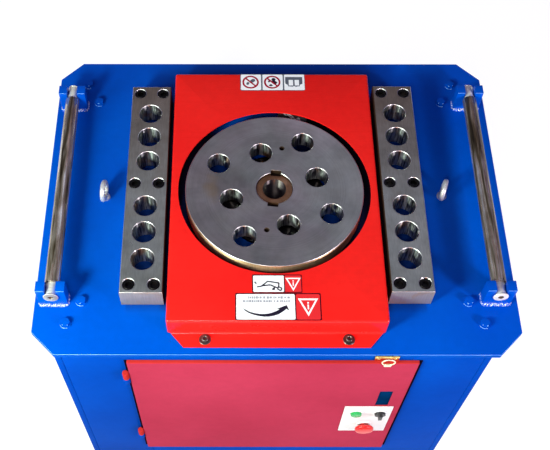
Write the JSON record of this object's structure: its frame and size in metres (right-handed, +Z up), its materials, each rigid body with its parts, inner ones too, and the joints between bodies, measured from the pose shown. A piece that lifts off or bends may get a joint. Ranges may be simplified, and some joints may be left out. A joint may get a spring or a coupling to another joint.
{
  "type": "rebar bender",
  "caption": "Bench-height bar bender: a geared disc with pin holes turns between two drilled bars and two guide rollers, on a sheet cabinet with a front door.",
  "frame": {"origin": "on the floor under the middle of the bounding box, which is the axis of the work disc", "axes": "+X to the operator's right along the longest side, +Y away from the operator, +Z up"},
  "size_m": [0.91, 0.72, 0.754],
  "materials": {
    "deck_blue": "glossy blue enamel",
    "cabinet_blue": "glossy blue enamel on sheet",
    "cover_red": "glossy red enamel",
    "door_red": "satin red enamel",
    "bar_steel": "milled steel, lightly oiled",
    "disc_steel": "turned and ground steel, lightly oiled",
    "shaft_steel": "steel with dried brown oil",
    "black_screws": "black oxide",
    "cover_screws": "dark phosphated steel",
    "roller_steel": "drawn steel with streaky yellow passivation",
    "axle_steel": "turned steel",
    "eye_zinc": "bright zinc plate",
    "yellow_zinc": "yellow passivated zinc",
    "gear_steel": "hobbed steel under oil",
    "bearing_steel": "ground bearing steel",
    "case_iron": "grey painted casting",
    "seal_rubber": "nitrile rubber",
    "belt_rubber": "fabric covered rubber",
    "motor_paint": "motor enamel on ribbed aluminium",
    "fan_plastic": "moulded plastic",
    "box_grey": "powder coated sheet",
    "switch_plastic": "moulded plastic",
    "lever_plastic": "pale nylon",
    "plate_white": "pale plastic plate",
    "window_blue": "dark blue plastic pane",
    "button_red": "moulded plastic",
    "button_green": "moulded plastic",
    "knob_black": "moulded plastic",
    "wheel_iron": "black painted cast iron"
  },
  "bodies": {
    "root": {"deck_plate": "deck_blue", "welded_frame": "cabinet_blue", "side_panels": "cabinet_blue", "back_panel": "cabinet_blue", "front_panels": "cabinet_blue", "bottom_pan": "cabinet_blue", "hasp_plate": "yellow_zinc", "disc_cover": "cover_red", "cover_screws": "cover_screws", "left_bar": "bar_steel", "right_bar": "bar_steel", "bar_screws": "black_screws", "roller_brackets": "deck_blue", "roller_axles": "axle_steel", "lifting_eyes": "eye_zinc", "deck_bolts": "deck_blue", "gearbox_case": "case_iron", "gearbox_lid": "case_iron", "bearing_bridge": "case_iron", "bearing_cover": "black_screws", "shaft_seal": "seal_rubber", "bearings": "bearing_steel", "drive_belts": "belt_rubber", "motor_bracket": "case_iron", "motor_body": "motor_paint", "fan_cowl": "motor_paint", "terminal_box": "motor_paint", "electrical_box": "box_grey", "limit_switch": "switch_plastic", "wheel_brackets": "cabinet_blue", "frame_hinges": "cabinet_blue"},
    "disc": {"work_disc": "disc_steel", "main_shaft": "shaft_steel", "disc_keys": "shaft_steel", "main_gear": "gear_steel", "trip_pins": "eye_zinc"},
    "output_pinion_shaft": {"final_pinion": "gear_steel", "second_gear": "gear_steel"},
    "middle_shaft": {"second_pinion": "gear_steel", "first_gear": "gear_steel"},
    "input_shaft": {"input_pinion": "gear_steel", "driven_pulley": "wheel_iron"},
    "motor_rotor": {"motor_shaft": "gear_steel", "motor_pulley": "wheel_iron", "cooling_fan": "fan_plastic"},
    "left_roller": {"left_roller": "roller_steel"},
    "right_roller": {"right_roller": "roller_steel"},
    "door": {"door_panel": "door_red", "door_hinges": "door_red", "padlock_eye": "yellow_zinc", "control_plate": "plate_white", "door_window": "window_blue"},
    "start_button": {"start_button": "button_green"},
    "estop_button": {"estop_button": "button_red"},
    "selector": {"selector_knob": "knob_black"},
    "switch_lever": {"switch_lever": "lever_plastic"},
    "wheel_front_left": {"wheel_front_left": "wheel_iron"},
    "wheel_front_right": {"wheel_front_right": "wheel_iron"},
    "wheel_back_left": {"wheel_back_left": "wheel_iron"},
    "wheel_back_right": {"wheel_back_right": "wheel_iron"}
  },
  "joints": [
    {"name": "disc_spin", "type": "hinge", "parent": "root", "child": "disc", "pos_m": [0, 0, 0.7], "axis": [0, 0, 1], "continuous": true},
    {"name": "output_pinion_spin", "type": "hinge", "parent": "root", "child": "output_pinion_shaft", "pos_m": [0.076, 0.13164, 0.5], "axis": [0, 0, 1], "continuous": true},
    {"name": "middle_shaft_spin", "type": "hinge", "parent": "root", "child": "middle_shaft", "pos_m": [-0.0365, 0.13164, 0.5], "axis": [0, 0, 1], "continuous": true},
    {"name": "input_shaft_spin", "type": "hinge", "parent": "root", "child": "input_shaft", "pos_m": [-0.1315, 0.13164, 0.4], "axis": [0, 0, 1], "continuous": true},
    {"name": "motor_spin", "type": "hinge", "parent": "root", "child": "motor_rotor", "pos_m": [-0.288, -0.02, 0.45], "axis": [0, 0, 1], "continuous": true},
    {"name": "left_roller_spin", "type": "hinge", "parent": "root", "child": "left_roller", "pos_m": [-0.418, 0.0115, 0.736], "axis": [0, 1, 0], "continuous": true},
    {"name": "right_roller_spin", "type": "hinge", "parent": "root", "child": "right_roller", "pos_m": [0.414, 0.014, 0.736], "axis": [0, 1, 0], "continuous": true},
    {"name": "door_hinge", "type": "hinge", "parent": "root", "child": "door", "pos_m": [-0.2845, -0.3395, 0.4], "axis": [0, 0, -1], "range_deg": [0, 110]},
    {"name": "start_press", "type": "slide", "parent": "door", "child": "start_button", "axis": [0, 1, 0], "range_m": [0, 0.003], "stiffness_N_per_m": 400},
    {"name": "estop_press", "type": "slide", "parent": "door", "child": "estop_button", "axis": [0, 1, 0], "range_m": [0, 0.004], "stiffness_N_per_m": 800},
    {"name": "selector_turn", "type": "hinge", "parent": "door", "child": "selector", "pos_m": [0.226, -0.34, 0.42], "axis": [0, 1, 0], "range_deg": [-45, 45]},
    {"name": "switch_lever_swing", "type": "hinge", "parent": "root", "child": "switch_lever", "pos_m": [0.03018, 0.2093, 0.722], "axis": [0, 0, 1], "range_deg": [0, 20], "stiffness_Nm_per_rad": 0.05},
    {"name": "wheel_front_left_spin", "type": "hinge", "parent": "root", "child": "wheel_front_left", "pos_m": [-0.32, -0.305, 0.05], "axis": [0, 1, 0], "continuous": true},
    {"name": "wheel_front_right_spin", "type": "hinge", "parent": "root", "child": "wheel_front_right", "pos_m": [0.32, -0.305, 0.05], "axis": [0, 1, 0], "continuous": true},
    {"name": "wheel_back_left_spin", "type": "hinge", "parent": "root", "child": "wheel_back_left", "pos_m": [-0.32, 0.325, 0.05], "axis": [0, 1, 0], "continuous": true},
    {"name": "wheel_back_right_spin", "type": "hinge", "parent": "root", "child": "wheel_back_right", "pos_m": [0.32, 0.325, 0.05], "axis": [0, 1, 0], "continuous": true}
  ],
  "couplings": [
    {"joint": "output_pinion_spin", "follows": "disc_spin", "ratio": -4.4286},
    {"joint": "middle_shaft_spin", "follows": "disc_spin", "ratio": 17.714},
    {"joint": "input_shaft_spin", "follows": "disc_spin", "ratio": -66.429},
    {"joint": "motor_spin", "follows": "disc_spin", "ratio": -147.62}
  ]
}
